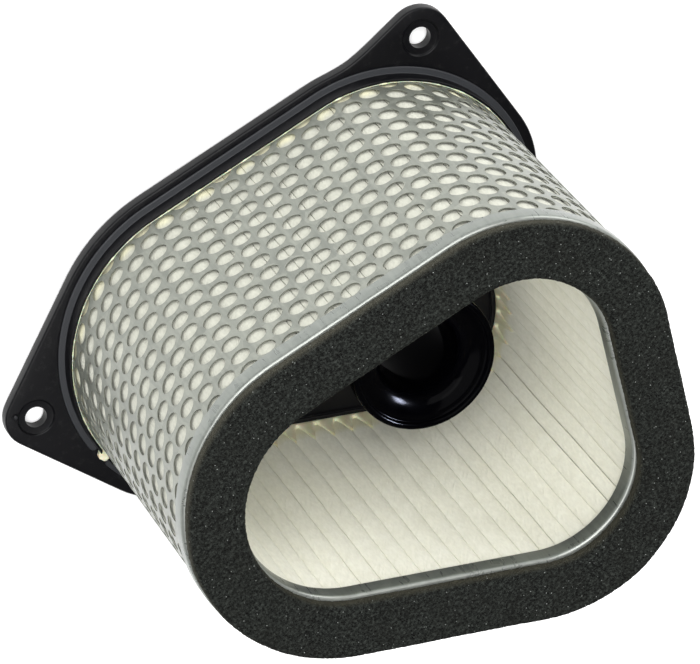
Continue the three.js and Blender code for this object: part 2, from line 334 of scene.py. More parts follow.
def wall_grid(distances, section, narrowing=None):
    """Points of a section of (offset, height) carried along the body outline."""
    points, normals = walk(distances)
    offsets = np.broadcast_to(section[:, 0], (len(points), len(section)))
    if narrowing is not None:
        middle = (section[:, 0].min() + section[:, 0].max()) / 2
        offsets = middle + (offsets - middle) * narrowing[:, None]
    grid = np.empty((*offsets.shape, 3))
    grid[..., :2] = points[:, None] + normals[:, None] * offsets[..., None]
    grid[..., 2] = section[:, 1]
    return grid


def swept_ring(name, section, step=1.3):
    """A closed section carried all the way round the body outline."""
    count = round(perimeter() / step)
    return grid_object(name, wall_grid(np.arange(count) * perimeter() / count, section))


def swept_length(name, section, start, end, end_radius, step=1.3):
    """A closed section carried along part of the outline, with its ends rounded in plan."""
    turn = np.radians(np.linspace(8, 90, 7))
    lead = end_radius * (1 - np.sin(turn))[::-1]
    middle = np.linspace(start + end_radius, end - end_radius, round((end - start) / step))
    distances = np.concatenate([start + end_radius - lead[::-1], middle[1:-1], end - end_radius + lead])
    narrowing = np.concatenate([np.sqrt(1 - (lead[::-1] / end_radius) ** 2), np.ones(len(middle) - 2),
                                np.sqrt(1 - (lead / end_radius) ** 2)])
    return grid_object(name, wall_grid(distances, section, narrowing), around=False, capped=True)


def spun(name, section, centre, segments=96):
    """A closed section of (radius, height) turned about an upright axis."""
    turn = unit(np.arange(segments) * 2 * math.pi / segments)
    grid = np.empty((segments, len(section), 3))
    grid[..., :2] = np.array(centre[:2]) + turn[:, None] * np.asarray(section)[:, 0, None]
    grid[..., 2] = np.asarray(section)[:, 1]
    obj = grid_object(name, grid)
    edit(obj, close_poles)
    return obj


def close_poles(bm):
    """Merges the points on a turned solid's axis and drops the edge left along it."""
    bmesh.ops.remove_doubles(bm, verts=bm.verts, dist=1e-7)
    loose = [edge for edge in bm.edges if not edge.link_faces]
    bmesh.ops.delete(bm, geom=loose, context="EDGES")


def edit(obj, change):
    """Runs one bmesh change on an object's mesh and turns its faces outwards."""
    bm = bmesh.new()
    bm.from_mesh(obj.data)
    change(bm)
    bmesh.ops.recalc_face_normals(bm, faces=bm.faces)
    bm.to_mesh(obj.data)
    bm.free()


def face_out(obj):
    """Turns the faces of a closed mesh outwards."""
    edit(obj, lambda bm: None)


def apply_modifiers(obj):
    """Replaces an object's mesh with the mesh its modifiers make."""
    bpy.context.view_layer.update()
    graph = bpy.context.evaluated_depsgraph_get()
    mesh = bpy.data.meshes.new_from_object(obj.evaluated_get(graph))
    obj.modifiers.clear()
    obj.data = mesh


def combine(obj, others, operation):
    """Joins other solids to obj, or cuts them out of it, and removes them."""
    for other in others:
        edit(obj, split_large_faces)
        edit(other, split_large_faces)
        boolean = obj.modifiers.new(operation, "BOOLEAN")
        boolean.operation = operation
        boolean.solver = "EXACT"
        boolean.object = other
        apply_modifiers(obj)
        bpy.data.objects.remove(other)


def split_large_faces(bm):
    """Triangulates the faces with many corners, which a boolean handles badly."""
    large = [face for face in bm.faces if len(face.verts) > 4]
    bmesh.ops.triangulate(bm, faces=large)


def merge_flat_faces(bm):
    """Puts the triangles that a boolean leaves on each flat face together again."""
    bmesh.ops.dissolve_limit(bm, angle_limit=math.radians(0.3), verts=bm.verts, edges=bm.edges)


def solidify(obj, thickness, side):
    """Gives a sheet its thickness: side -1 is inwards from its faces, 0 on both sides."""
    modifier = obj.modifiers.new("sheet", "SOLIDIFY")
    modifier.thickness = thickness * MM
    modifier.offset = side
    apply_modifiers(obj)


def displace(obj, amount):
    """Moves each vertex along its normal by amount(position in mm), in mm."""
    mesh = obj.data
    for vertex, normal in zip(mesh.vertices, [v.normal.copy() for v in mesh.vertices]):
        vertex.co += normal * amount(vertex.co / MM) * MM


def present(obj, node, material, sharp=35):
    """Shades a finished piece and puts it in a CAD node's place."""
    face_out(obj)
    mesh = obj.data
    mesh.shade_smooth()
    mesh.set_sharp_from_angle(angle=math.radians(sharp))
    mesh.materials.clear()
    mesh.materials.append(material)
    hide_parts(node)
    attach(obj, "root")
    return obj


# ---------------------------------------------------------------- material nodes

class Look:
    """A Principled material with procedural detail in object space, sized in mm."""

    def __init__(self, name, **values):
        self.material = bpy.data.materials.new(name)
        self.material.use_nodes = True
        self.tree = self.material.node_tree
        self.shader = self.tree.nodes["Principled BSDF"]
        self.place = self.node("ShaderNodeTexCoord").outputs["Object"]
        for socket, value in values.items():
            self.shader.inputs[socket.replace("_", " ")].default_value = value

    def node(self, kind, **settings):
        made = self.tree.nodes.new(kind)
        for name, value in settings.items():
            setattr(made, name, value)
        return made

    def link(self, output, socket):
        self.tree.links.new(output, socket)

    def sized(self, size, stretch, lean=None):
        """Object coordinates, turned by lean, scaled so that one texture cell is size mm."""
        place = self.place
        if lean is not None:
            turned = self.node("ShaderNodeMapping")
            turned.inputs["Rotation"].default_value = lean
            self.link(place, turned.inputs["Vector"])
            place = turned.outputs["Vector"]
        mapping = self.node("ShaderNodeMapping")
        mapping.inputs["Scale"].default_value = [1 / (size * MM * s) for s in stretch]
        self.link(place, mapping.inputs["Vector"])
        return mapping.outputs["Vector"]

    def noise(self, size, detail=3.0, stretch=(1, 1, 1), roughness=0.5, lean=None):
        made = self.node("ShaderNodeTexNoise")
        made.inputs["Scale"].default_value = 1.0
        made.inputs["Detail"].default_value = detail
        made.inputs["Roughness"].default_value = roughness
        self.link(self.sized(size, stretch, lean), made.inputs["Vector"])
        return made.outputs["Fac"]

    def cells(self, size, feature="F1", output="Distance"):
        made = self.node("ShaderNodeTexVoronoi", feature=feature)
        made.inputs["Scale"].default_value = 1.0
        self.link(self.sized(size, (1, 1, 1)), made.inputs["Vector"])
        return made.outputs[output]

    def height(self):
        """Height above the floor, in metres."""
        split = self.node("ShaderNodeSeparateXYZ")
        self.link(self.place, split.inputs["Vector"])
        return split.outputs["Z"]

    def spread(self, value, low, high, to_low=0.0, to_high=1.0):
        """The value mapped from low..high to to_low..to_high, and held there outside it."""
        made = self.node("ShaderNodeMapRange")
        for name, number in (("From Min", low), ("From Max", high), ("To Min", to_low),
                             ("To Max", to_high)):
            made.inputs[name].default_value = number
        self.link(value, made.inputs["Value"])
        return made.outputs["Result"]

    def maths(self, operation, a, b):
        made = self.node("ShaderNodeMath", operation=operation)
        for socket, value in zip(made.inputs, (a, b)):
            if isinstance(value, (int, float)):
                socket.default_value = value
            else:
                self.link(value, socket)
        return made.outputs["Value"]

    def blend(self, share, first, second):
        """Colour between first and second, each a colour or an output."""
        made = self.node("ShaderNodeMix", data_type="RGBA")
        self.link(share, made.inputs["Factor"])
        for socket, value in ((made.inputs["A"], first), (made.inputs["B"], second)):
            colour = [s for s in made.inputs if s.name == socket.name and s.type == "RGBA"][0]
            if isinstance(value, tuple):
                colour.default_value = (*value, 1)
            else:
                self.link(value, colour)
        return [s for s in made.outputs if s.type == "RGBA"][0]

    def colour(self, output):
        self.link(output, self.shader.inputs["Base Color"])

    def roughness(self, output):
        self.link(output, self.shader.inputs["Roughness"])

    def bump(self, height, depth, under=None):
        """Adds relief of depth mm where height goes from 0 to 1."""
        made = self.node("ShaderNodeBump")
        made.inputs["Strength"].default_value = 1.0
        made.inputs["Distance"].default_value = depth * MM
        self.link(height, made.inputs["Height"])
        if under is not None:
            self.link(under, made.inputs["Normal"])
        self.link(made.outputs["Normal"], self.shader.inputs["Normal"])
        return made.outputs["Normal"]


def black_nylon():
    """Satin moulded nylon: fine grain, cloudy sheen, a little dust, and a painted sheen on the ring
    ledge.
    """
    look = Look("black_nylon", Specular_IOR_Level=0.2)
    cloud = look.noise(14, detail=4)
    dust = look.spread(look.noise(2.2, detail=6, roughness=0.7), 0.55, 0.8)
    base = look.blend(dust, (0.002, 0.002, 0.003), (0.016, 0.016, 0.016))
    # painted sheen: the ring ledge's top face is painted lighter than the plate, for the light it
    # catches
    ledge = PLATE_TOP + RING_LEDGE_HEIGHT
    above = look.spread(look.height(), (ledge - 0.5) * MM, (ledge - 0.2) * MM, 0, 0.85)
    below = look.spread(look.height(), (ledge + 0.1) * MM, (ledge + 0.3) * MM, 1, 0)
    look.colour(look.blend(look.maths("MULTIPLY", above, below), base, (0.036, 0.038, 0.042)))
    look.roughness(look.spread(cloud, 0.3, 0.7, 0.36, 0.5))
    grain = look.bump(look.noise(0.5, detail=3), 0.012)
    look.bump(cloud, 0.05, grain)
    return look.material


def gloss_black():
    """Polished black plastic with faint sink and handling marks."""
    look = Look("gloss_black", Specular_IOR_Level=0.015)
    smear = look.noise(9, detail=5, roughness=0.6)
    look.colour(look.blend(smear, (0.0003, 0.0003, 0.0007), (0.0008, 0.0008, 0.0012)))
    look.roughness(look.spread(smear, 0.35, 0.75, 0.08, 0.14))
    look.bump(look.noise(11, detail=1), 0.05)
    return look.material


# pale colour of the painted highlight on the cap's rounded rim
RIM_HIGHLIGHT_STEEL = (0.62, 0.64, 0.6)


def galvanised(name, light, dark, roughness, rim=None):
    """Galvanised sheet: faint spangles, drawn streaks, stains, and a painted highlight just under a
    rim.
    """
    look = Look(name, Metallic=0.45, Specular_IOR_Level=0.5)
    spangle = look.cells(4.5, output="Color")
    tone = look.node("ShaderNodeRGBToBW")
    look.link(spangle, tone.inputs["Color"])
    streak = look.noise(1.2, detail=4, stretch=(1, 1, 12))
    mixed = look.maths("ADD", look.maths("MULTIPLY", tone.outputs["Val"], 0.35),
                       look.maths("MULTIPLY", streak, 0.65))
    base = look.blend(look.spread(mixed, 0.3, 0.7), dark, light)
    stain = look.spread(look.noise(3.0, detail=5, roughness=0.65), 0.66, 0.8, 0, 0.5)
    base = look.blend(stain, base, tuple(0.55 * c for c in dark))
    if rim is not None:
        # painted highlight: a pale band just under the rim's top stands in for the light on its rounded
        # edge
        rim_highlight = look.spread(look.height(), (rim - 0.8) * MM, (rim - 0.2) * MM, 0, 0.35)
        base = look.blend(rim_highlight, base, RIM_HIGHLIGHT_STEEL)
    look.colour(base)
    look.roughness(look.spread(mixed, 0.3, 0.7, roughness - 0.05, roughness + 0.08))
    look.bump(look.noise(0.7, detail=3, stretch=(1, 1, 6)), 0.012)
    return look.material


def filter_paper():
    """Creped paper, painted darker as shade where it faces the band, with adhesive soaked in near the
    floor.
    """
    look = Look("filter_paper", Roughness=0.9, Specular_IOR_Level=0.15, Sheen_Weight=0.15,
                Sheen_Roughness=0.6)
    mottle = look.noise(6, detail=5, roughness=0.6)
    base = look.blend(look.spread(mottle, 0.3, 0.7), (0.88, 0.87, 0.75), (0.93, 0.925, 0.82))
    outside = look.node("ShaderNodeAttribute", attribute_name="outside").outputs["Fac"]
    # painted shade: the paper's outer folds, behind the band, are painted darker than the same paper
    # inside
    base = look.blend(look.spread(outside, 0.6, 0.9, 0, 1), base, (0.43, 0.435, 0.37))
    fibre = look.noise(0.8, detail=4, stretch=(1, 1, 3))
    base = look.blend(look.spread(fibre, 0.35, 0.7, 0, 0.3), base, (0.66, 0.655, 0.56))
    edge = look.maths("ADD", look.height(), look.maths("MULTIPLY", look.noise(5, detail=3), -0.006))
    soaked = look.spread(edge, (BED_TOP + 0.5) * MM, (BED_TOP + 5) * MM, 0.75, 0)
    look.colour(look.blend(soaked, base, (0.76, 0.73, 0.48)))
    crepe = look.noise(0.8, detail=2, stretch=(1, 1, 7), lean=CREPE_LEAN)
    wrinkles = look.bump(crepe, 0.28)
    look.bump(fibre, 0.03, wrinkles)
    return look.material


def adhesive():
    """Cured cream adhesive with a soft skin and small bubbles."""
    look = Look("adhesive", Specular_IOR_Level=0.4, Subsurface_Weight=0.25, Subsurface_Scale=0.002)
    mottle = look.noise(4, detail=4)
    look.colour(look.blend(look.spread(mottle, 0.3, 0.7), (0.70, 0.67, 0.45), (0.80, 0.78, 0.60)))
    look.roughness(look.spread(mottle, 0.3, 0.7, 0.4, 0.55))
    bubbles = look.spread(look.cells(1.8), 0.1, 0.3)
    skin = look.bump(bubbles, 0.08)
    look.bump(mottle, 0.25, skin)
    return look.material


def charcoal_foam():
    """Open-cell foam: dark cells with pale struts, and sparse painted glints where strut ends catch the
    light.
    """
    look = Look("charcoal_foam", Roughness=0.9, Specular_IOR_Level=0.12)
    cell = look.cells(0.7, feature="DISTANCE_TO_EDGE")
    strut = look.spread(cell, 0.0, 0.3, 1, 0)
    pores = look.spread(look.noise(0.9, detail=4, roughness=0.75), 0.46, 0.62)
    mixed = look.maths("ADD", look.maths("MULTIPLY", strut, 0.3), look.maths("MULTIPLY", pores, 0.7))
    base = look.blend(mixed, (0.001, 0.0012, 0.001), (0.038, 0.043, 0.038))
    cloud = look.spread(look.noise(9, detail=3), 0.35, 0.7, 0, 0.3)
    base = look.blend(cloud, base, (0.012, 0.012, 0.01))
    # the foam is painted paler and browner below its top face
    paler_sides = look.spread(look.height(), (FOAM_TOP - 1.9) * MM, (FOAM_TOP - 0.5) * MM, 0.75, 0)
    base = look.blend(paler_sides, base, (0.062, 0.060, 0.044))
    # painted highlight: sparse bright specks stand in for strut ends catching the light
    glint = look.spread(look.cells(1.9), 0.0, 0.1, 1, 0)
    look.colour(look.blend(glint, base, (0.5, 0.53, 0.5)))
    relief = look.bump(strut, 0.3)
    look.bump(look.noise(0.45, detail=4), 0.25, relief)
    return look.material


def gasket_rubber():
    """Dull black rubber with a bloom and fine grain."""
    look = Look("gasket_rubber", Specular_IOR_Level=0.35)
    bloom = look.noise(5, detail=5, roughness=0.65)
    look.colour(look.blend(look.spread(bloom, 0.4, 0.75), (0.011, 0.011, 0.012), (0.04, 0.04, 0.039)))
    look.roughness(look.spread(bloom, 0.3, 0.7, 0.55, 0.75))
    look.bump(look.noise(0.35, detail=3), 0.02)
    return look.material


def tape_fabric():
    """Woven double-sided tape."""
    look = Look("tape_fabric", Roughness=0.75, Specular_IOR_Level=0.3)
    weave = look.noise(0.6, detail=2)
    tint = look.noise(5, detail=3)
    base = look.blend(look.spread(tint, 0.3, 0.7), (0.42, 0.41, 0.35), (0.52, 0.5, 0.44))
    look.colour(look.blend(look.spread(weave, 0.4, 0.7, 0, 0.4), base, (0.3, 0.29, 0.25)))
    look.bump(weave, 0.05)
    return look.material


def studio_floor():
    """Pale, slightly uneven floor with a faint glow that begins beyond the filter."""
    look = Look("studio_floor", Roughness=0.8, Specular_IOR_Level=0.2, Emission_Color=(1, 1, 1, 1))
    tint = look.noise(60, detail=2)
    look.colour(look.blend(tint, (0.95, 0.95, 0.95), (0.97, 0.97, 0.97)))
    distance = look.node("ShaderNodeVectorMath", operation="LENGTH")
    look.link(look.place, distance.inputs[0])
    # painted light: the floor glows from 7 cm out from its middle under the filter, fully from 11 cm,
    # which washes out the filter's cast shadow
    glow = look.spread(distance.outputs["Value"], 0.07, 0.11, 0, 0.3)
    look.link(glow, look.shader.inputs["Emission Strength"])
    return look.material


# ---------------------------------------------------------------- base plate

def polygon(circles, step=2.0):
    """Points on a loop of circles, one every step mm."""
    length = perimeter(0.0, circles)
    return walk(np.linspace(0, length, round(length / step), endpoint=False), 0.0, circles)[0]


def reach(loop, middle, directions):
    """How far a loop reaches from a place inside or outside it, in each direction."""
    corners = loop - np.array(middle)
    edges = np.roll(corners, -1, axis=0) - corners
    across = directions[:, :1] * edges[:, 1] - directions[:, 1:] * edges[:, 0]
    across[np.abs(across) < 1e-12] = 1e-12
    distance = (corners[:, 0] * edges[:, 1] - corners[:, 1] * edges[:, 0]) / across
    share = (corners[:, 0] * directions[:, 1:] - corners[:, 1] * directions[:, :1]) / across
    hit = (share >= 0) & (share <= 1) & (distance > 0)
    return np.where(hit, distance, 0).max(axis=1)


def outward(path):
    """Unit normals of an anticlockwise path."""
    along = np.roll(path, -1, axis=0) - np.roll(path, 1, axis=0)
    along /= np.linalg.norm(along, axis=1)[:, None]
    return np.stack([along[:, 1], -along[:, 0]], axis=1)


def fill_hollows(path, rounds):
    """Lets hollow corners of a path creep outwards into soft fillets."""
    for _ in range(rounds):
        normals = outward(path)
        pull = (np.roll(path, 1, axis=0) + np.roll(path, -1, axis=0)) / 2 - path
        path = path + normals * np.maximum(0, (pull * normals).sum(axis=1))[:, None]
    return path


def plate_outline():
    """Plan of the plate: its lobes together, with soft fillets where they meet."""
    directions = unit(np.linspace(0, 2 * math.pi, 3000, endpoint=False))
    furthest = np.max([reach(polygon(lobe), PLATE_MIDDLE, directions) for lobe in PLATE_LOBES], axis=0)
    path = evenly(np.array(PLATE_MIDDLE) + directions * furthest[:, None], 0.8)
    return evenly(fill_hollows(path, 40), 0.8)


def slab(name, outline, edge_section):
    """A flat solid on an outline whose edge follows a section of (offset, height)."""
    normals = outward(outline)
    grid = np.empty((len(outline), len(edge_section), 3))
    grid[..., :2] = outline[:, None] + normals[:, None] * edge_section[:, 0, None]
    grid[..., 2] = edge_section[:, 1]
    faces = grid_faces(*grid.shape[:2], True, False)
    columns = grid.shape[1]
    for column in (0, columns - 1):
        faces.append([row * columns + column for row in range(len(outline))])
    return new_object(name, grid, faces)


def ear_cutter(ear):
    """Screw hole and the round seat sunk around it."""
    seat = PLATE_TOP - SEAT_DEPTH
    section = rounded([
        (0, PLATE_BOTTOM - CUT_PAST, 0),
        (HOLE_RADIUS, PLATE_BOTTOM - CUT_PAST, 0),
        (HOLE_RADIUS, seat, 0),
        (HOLE_RADIUS + 0.35, seat, 0),
        (SEAT_RADIUS, seat, 0.3),
        (SEAT_RADIUS + 0.1, PLATE_TOP - 0.2, 0.2),
        (SEAT_RADIUS + 1.1, PLATE_TOP + 0.5, 0),
        (0, PLATE_TOP + 0.5, 0),
    ])
    return spun("ear_cutter", section, ear, 64)


def base_plate():
    """Moulded plate: ears with screw seats, stepped ring wall with its notch, curb, gasket groove."""
    side = rounded([
        (-EDGE_INSET, PLATE_BOTTOM, 0),
        (0, PLATE_BOTTOM, 0.5),
        (0, PLATE_TOP, 0.7),
        (-EDGE_INSET, PLATE_TOP, 0),
    ], closed=False)
    plate = slab("moulded_plate", plate_outline(), side)
    inner, foot = RING_WALL
    ring_section = rounded([
        (inner, PLATE_TOP - ROOTED, 0),
        (RING_LEDGE[1], PLATE_TOP - ROOTED, 0),
        (RING_LEDGE[1], PLATE_TOP + RING_LEDGE_HEIGHT, 0.35),
        (foot + 0.1, PLATE_TOP + RING_LEDGE_HEIGHT, 0.25),
        (foot - 0.1, RING_TOP, 0.3),
        (inner, RING_TOP, 0.2),
    ])
    notch = distance_near(LEFT_CORNER.x - LEFT_CORNER.r, NOTCH_Y)
    ring = swept_length("ring", ring_section, notch + NOTCH_WIDTH / 2,
                        notch - NOTCH_WIDTH / 2 + perimeter(), 1.1)
    curb = swept_ring("curb", box_section(CURB, PLATE_TOP - ROOTED, PLATE_TOP + CURB_HEIGHT, 0.4))
    dome = rounded([
        (0, PLATE_TOP - 0.5, 0),
        (PIP.r, PLATE_TOP - 0.5, 0),
        (PIP.r, PLATE_TOP + 0.55, 0.5),
        (0, PLATE_TOP + 0.7, 0),
    ])
    pip = spun("pip", dome, PIP, 24)
    combine(plate, [ring, curb, pip], "UNION")
    cutters = [ear_cutter(ear) for ear in EARS]
    spigot = FUNNEL.r + FUNNEL_WALL + GAP
    below, above = PLATE_BOTTOM - CUT_PAST, PLATE_TOP + CUT_PAST
    bore = [(0, below), (spigot, below), (spigot, above), (0, above)]
    cutters.append(spun("floor_cutter", bore, FUNNEL))
    groove = (GASKET[0] - GAP, GASKET[1] + GAP)
    groove_section = box_section(groove, PLATE_BOTTOM - 2 * CUT_PAST, GASKET_TOP + GAP, 0.3)
    cutters.append(swept_ring("groove", groove_section))
    combine(plate, cutters, "DIFFERENCE")
    edit(plate, merge_flat_faces)
    return present(plate, "base_plate", black_nylon())


def gasket():
    """Rubber ring in the groove under the plate."""
    ring = swept_ring("plate_gasket", box_section(GASKET, GASKET_BOTTOM, GASKET_TOP, 0.6))
    return present(ring, "base_gasket", gasket_rubber())


# ---------------------------------------------------------------- funnel

def quarter(centre, across, up, start, end, steps):
    """(x, y, 0) corners on an ellipse about a centre, between two angles in degrees."""
    turn = np.radians(np.linspace(start, end, steps + 1))
    return [(centre[0] + across * math.cos(a), centre[1] + up * math.sin(a), 0) for a in turn]


def funnel():
    """Bell-mouthed tube: spigot through the floor, flange on it, trumpet and rolled lip."""
    lip_height = FUNNEL_TOP - LIP_RADIUS
    trumpet_bottom = lip_height - TRUMPET_HEIGHT
    flare = MOUTH_RADIUS - FUNNEL.r
    outside = MOUTH_RADIUS + 2 * LIP_RADIUS
    spigot = FUNNEL.r + FUNNEL_WALL
    flange_bottom = PLATE_TOP + 0.1
    flange_top = PLATE_TOP + GAP + FLANGE_THICKNESS
    section = rounded([
        (FUNNEL.r, PLATE_BOTTOM, 0.5),
        *quarter((MOUTH_RADIUS, trumpet_bottom), flare, TRUMPET_HEIGHT, 180, 92, 16),
        *quarter((MOUTH_RADIUS + LIP_RADIUS, lip_height), LIP_RADIUS, LIP_RADIUS, 172, 0, 14),
        (outside, lip_height - LIP_SKIRT, 0.3),
        (spigot, trumpet_bottom, 4),
        (spigot, flange_top, 0.8),
        (FLANGE_RADIUS, flange_top, 0.6),
        (FLANGE_RADIUS, flange_bottom, 0.2),
        (spigot, flange_bottom, 0),
        (spigot, PLATE_BOTTOM, 0.5),
    ])
    tube = spun("bell_funnel", section, FUNNEL, 144)
    return present(tube, "intake_funnel", gloss_black(), sharp=50)


# ---------------------------------------------------------------- adhesive

def glue_bed():
    """Adhesive bed under the pleats, climbing in a point into each gap between inner folds."""
    count = PLEATS * BED_POINTS
    shares = np.arange(count) / BED_POINTS
    distances = (shares + PLEAT_START) * perimeter(MEDIA_MIDDLE) / PLEATS
    from_gap = np.abs((shares % 1) - 0.5) * 2
    wander = np.array([noise.noise(Vector((math.floor(s) * 3.1, 2.0, 0))) for s in shares])
    climb = (CLIMB + CLIMB_WANDER * wander) * np.clip(1 - from_gap / 0.85, 0, 1) ** 1.15
    outer, front, behind = RING_WALL[0] - 0.35, CURB[1] + 0.15, MEDIA[0] + 0.9
    points, normals = walk(distances, MEDIA_MIDDLE)
    section = [                  # offset, height, and share of the climb
        (outer, BED_BOTTOM, 0),
        (outer, BED_TOP, 0),
        (behind + 2, BED_TOP, 0),
        (behind, BED_TOP, 1),
        (MEDIA[0] - 0.25, BED_TOP + 0.1, 1),
        (MEDIA[0] - 0.6, BED_TOP, 0.45),
        (front, BED_TOP - 0.1, 0),
        (front, BED_BOTTOM, 0),
    ]
    grid = np.empty((count, len(section), 3))
    for column, (offset, height, rise) in enumerate(section):
        grid[:, column, :2] = points + normals * offset
        grid[:, column, 2] = height + rise * climb
    return grid_object("glue_bed", grid)


def notch_glue():
    """Lump of adhesive squeezed out through the ring wall's notch."""
    bm = bmesh.new()
    bmesh.ops.create_icosphere(bm, subdivisions=4, radius=1.0)
    centre = Vector((LEFT_CORNER.x - LEFT_CORNER.r - 1.0, NOTCH_Y, PLATE_TOP + LUMP_RISE))
    for vertex in bm.verts:
        lump = 1 + 0.22 * noise.noise(vertex.co * 1.7)
        stretched = Vector([value * half for value, half in zip(vertex.co, LUMP_SIZE)])
        vertex.co = (centre + stretched * lump) * MM
        vertex.co.z = max(vertex.co.z, (PLATE_TOP + 0.05) * MM)
    mesh = bpy.data.meshes.new("notch_glue")
    bm.to_mesh(mesh)
    bm.free()
    return mesh


def glue_bead():
    """Thin uneven bead of adhesive where the band leaves the ring wall."""
    def swell_at(point):
        slow = noise.noise(Vector((*point, 0)) / 4)
        return slow + 0.6 * noise.noise(Vector((*point, 9)) / 1.5)

    count = round(perimeter() / BEAD_STEP)
    distances = np.arange(count) * perimeter() / count
    points, normals = walk(distances)
    swell = np.array([swell_at(point) for point in points])
    radius = BEAD_RADIUS[0] + BEAD_RADIUS[1] * np.clip(swell - 0.15, 0, 1)
    turn = unit(np.arange(8) * math.pi / 4)
    grid = np.empty((count, len(turn), 3))
    offsets = BEAD_OFFSET + radius[:, None] * turn[:, 0]
    grid[..., :2] = points[:, None] + normals[:, None] * offsets[..., None]
    grid[..., 2] = RING_TOP + radius[:, None] * turn[:, 1]
    return grid_object("glue_bead", grid)


def potting():
    """The glue bed with its squeezed-out lump and bead."""
    bed = glue_bed()
    bead = glue_bead()
    edit(bed, lambda bm: bm.from_mesh(notch_glue()))
    edit(bed, lambda bm: bm.from_mesh(bead.data))
    bpy.data.objects.remove(bead)
    return present(bed, "base_potting", adhesive(), sharp=60)


def top_glue():
    """Adhesive in the end cap's channel."""
    offsets = (CAP[0] + CAP_SHEET + 0.1, CAP[1] - CAP_SHEET - 0.1)
    ring = swept_ring("cap_glue", box_section(offsets, TOP_GLUE[0], TOP_GLUE[1], 0.4), step=2.0)
    return present(ring, "top_potting", adhesive())


# ---------------------------------------------------------------- paper

def pleat_path(index, pitch):
    """One pleat in plan, from the middle of an inner fold to the middle of the next."""
    def wide(k):
        apart = WIDE_GAPS.get(k % PLEATS, 0.0)
        return INNER_FOLD - apart + 0.006 * noise.noise(Vector((k % PLEATS * 2.3, 7.0, 0)))

    inner, outer = MEDIA[0] + PAPER / 2, MEDIA[1] - PAPER / 2
    corners = [
        (0, inner, 0),
        (0.24, inner + 0.1, 3.0),
        (wide(index), inner + FOLD_SHOULDER, 0.25),
        (FOLD_NECK, outer - 0.18, 0.12),
        (0.5, outer, 3.0),
        (1 - FOLD_NECK, outer - 0.18, 0.12),
        (1 - wide(index + 1), inner + FOLD_SHOULDER, 0.25),
        (0.76, inner + 0.1, 3.0),
        (1, inner, 0),
    ]
    path = rounded([(share * pitch, offset, radius) for share, offset, radius in corners],
                   closed=False, steps=4)[:-1]
    path[:, 0] += (index + PLEAT_START) * pitch
    return path


def pleated_paper():
    """Endless zigzag sheet of filter paper with bulging folds that waver along their height."""
    pitch = perimeter(MEDIA_MIDDLE) / PLEATS
    paths = [pleat_path(k, pitch) for k in range(PLEATS)]
    pleat = np.concatenate([np.full(len(path), k) for k, path in enumerate(paths)])
    path = np.concatenate(paths)
    levels = np.linspace(MEDIA_BOTTOM - EMBEDDED, MEDIA_TOP + EMBEDDED, PAPER_ROWS)
    grid = np.empty((len(path), len(levels), 3))
    for row, level in enumerate(levels):
        free = math.sin(math.pi * row / (len(levels) - 1)) ** 0.5
        sway = [SWAY * noise.noise(Vector((k * 1.9, level / 30, 3))) for k in range(PLEATS)]
        bulge = [BULGE * noise.noise(Vector((k * 2.7, level / 18, 9))) for k in range(PLEATS)]
        along = path[:, 0] / pitch - PLEAT_START
        shift = free * np.interp(along, np.arange(PLEATS + 1), sway + sway[:1])
        points, normals = walk(path[:, 0] + shift, MEDIA_MIDDLE)
        depth = np.clip(path[:, 1] + free * np.array(bulge)[pleat], MEDIA[0] + PAPER / 2, MEDIA[1])
        grid[:, row, :2] = points + normals * depth[:, None]
        grid[:, row, 2] = level
    sheet = grid_object("pleated_paper", grid, across=False)
    # how far out towards the band each point lies, which the paper's material uses for its painted
    # shade
    depth_share = (path[:, 1] - MEDIA[0]) / (MEDIA[1] - MEDIA[0])
    outside = sheet.data.attributes.new("outside", "FLOAT", "POINT")
    outside.data.foreach_set("value", np.repeat(depth_share, len(levels)))
    solidify(sheet, PAPER, 0)
    return present(sheet, "pleated_media", filter_paper(), sharp=60)


def paper_seam():
    """Bonded strip over the joint in the pleated sheet, just inside the band at the notch."""
    middle = distance_near(LEFT_CORNER.x - LEFT_CORNER.r, NOTCH_Y)
    section = box_section(SEAM_STRIP, MEDIA_BOTTOM, MEDIA_TOP, 0.25)
    start, end = middle - SEAM_WIDTH / 2, middle + SEAM_WIDTH / 2
    strip = swept_length("paper_seam", section, start, end, 0.3, 0.6)
    return present(strip, "media_seam_strip", adhesive())


# ---------------------------------------------------------------- perforated band

def cell_border(half_width, half_height, segments):
    """Points round a rectangle, anticlockwise from the middle of its right side."""
    share = np.arange(segments * 4) / segments
    ring = []
    for value in share:
        side, part = divmod((value + 0.5) % 4, 1)
        t = 2 * part - 1
        ring.append([(1, t), (-t, 1), (-1, -t), (t, -1)][int(side)])
    return np.array(ring) * (half_width, half_height)


